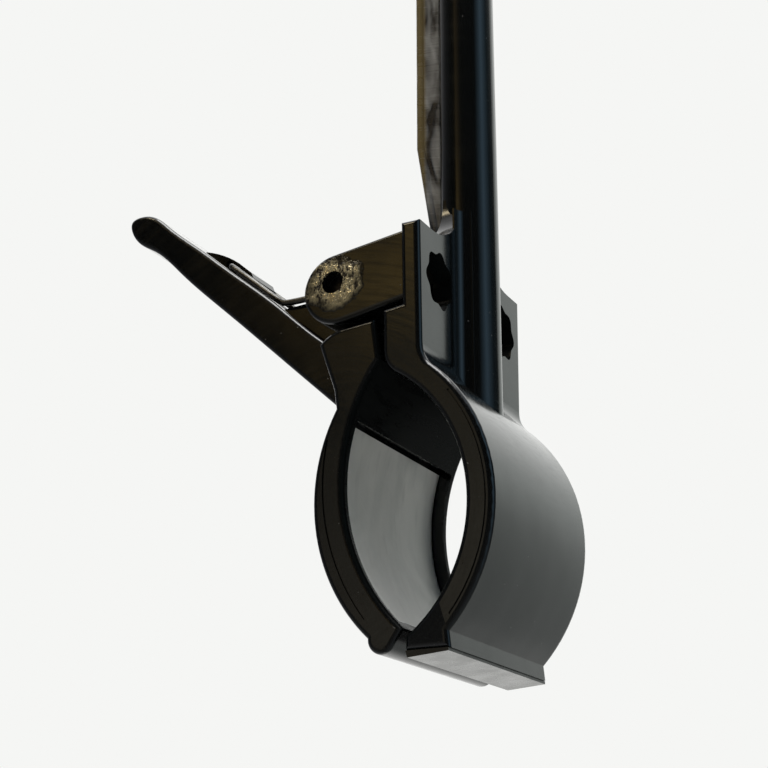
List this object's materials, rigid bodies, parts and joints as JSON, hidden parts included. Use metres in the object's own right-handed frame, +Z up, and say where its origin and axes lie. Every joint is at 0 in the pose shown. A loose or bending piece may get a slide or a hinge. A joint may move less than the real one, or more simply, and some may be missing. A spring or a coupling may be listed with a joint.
{
  "type": "reacher grabber",
  "caption": "Spring-closed grabber with two curved jaws, a squeeze lever beside the head and a straight shaft with a ribbed web, a grip and a hanging hole.",
  "frame": {"origin": "centre of the hanging hole in the end cap, on the shaft's axis", "axes": "+Z up along the shaft away from the jaws, +Y along the hinge axis, +X away from the lever"},
  "size_m": [0.0951, 0.0514, 0.3759],
  "materials": {
    "black_moulding": "gloss black injection moulding",
    "tip_moulding": "gloss black, slightly softer sheen",
    "liner": "smooth black elastomer",
    "pin_steel": "oiled steel",
    "spring_steel": "drawn spring wire",
    "zinc_steel": "zinc plated",
    "nylon": "black nylon",
    "black_tube": "gloss black coated aluminium tube",
    "grip_rubber": "satin black rubber"
  },
  "bodies": {
    "frame": {"fixed_jaw": "black_moulding", "tip_plate": "tip_moulding", "fixed_jaw_liner": "liner", "hinge_pin": "pin_steel", "thrust_washers": "nylon", "torsion_spring": "spring_steel", "shaft_coupler": "black_moulding", "coupler_screws": "zinc_steel", "shaft_tube": "black_tube", "grip_collar": "black_moulding", "grip_sleeve": "grip_rubber", "end_cap": "black_moulding", "cap_rivet": "zinc_steel"},
    "jaw_lever": {"moving_jaw": "black_moulding", "moving_jaw_liner": "liner", "knuckle_bushes": "nylon"}
  },
  "joints": [
    {"name": "jaw_hinge", "type": "hinge", "parent": "frame", "child": "jaw_lever", "pos_m": [-0.0194, 0, -0.292], "axis": [0, 1, 0], "range_deg": [0, 40], "stiffness_Nm_per_rad": 0.25, "springref_deg": -80.21, "deforming": ["torsion_spring"]}
  ]
}
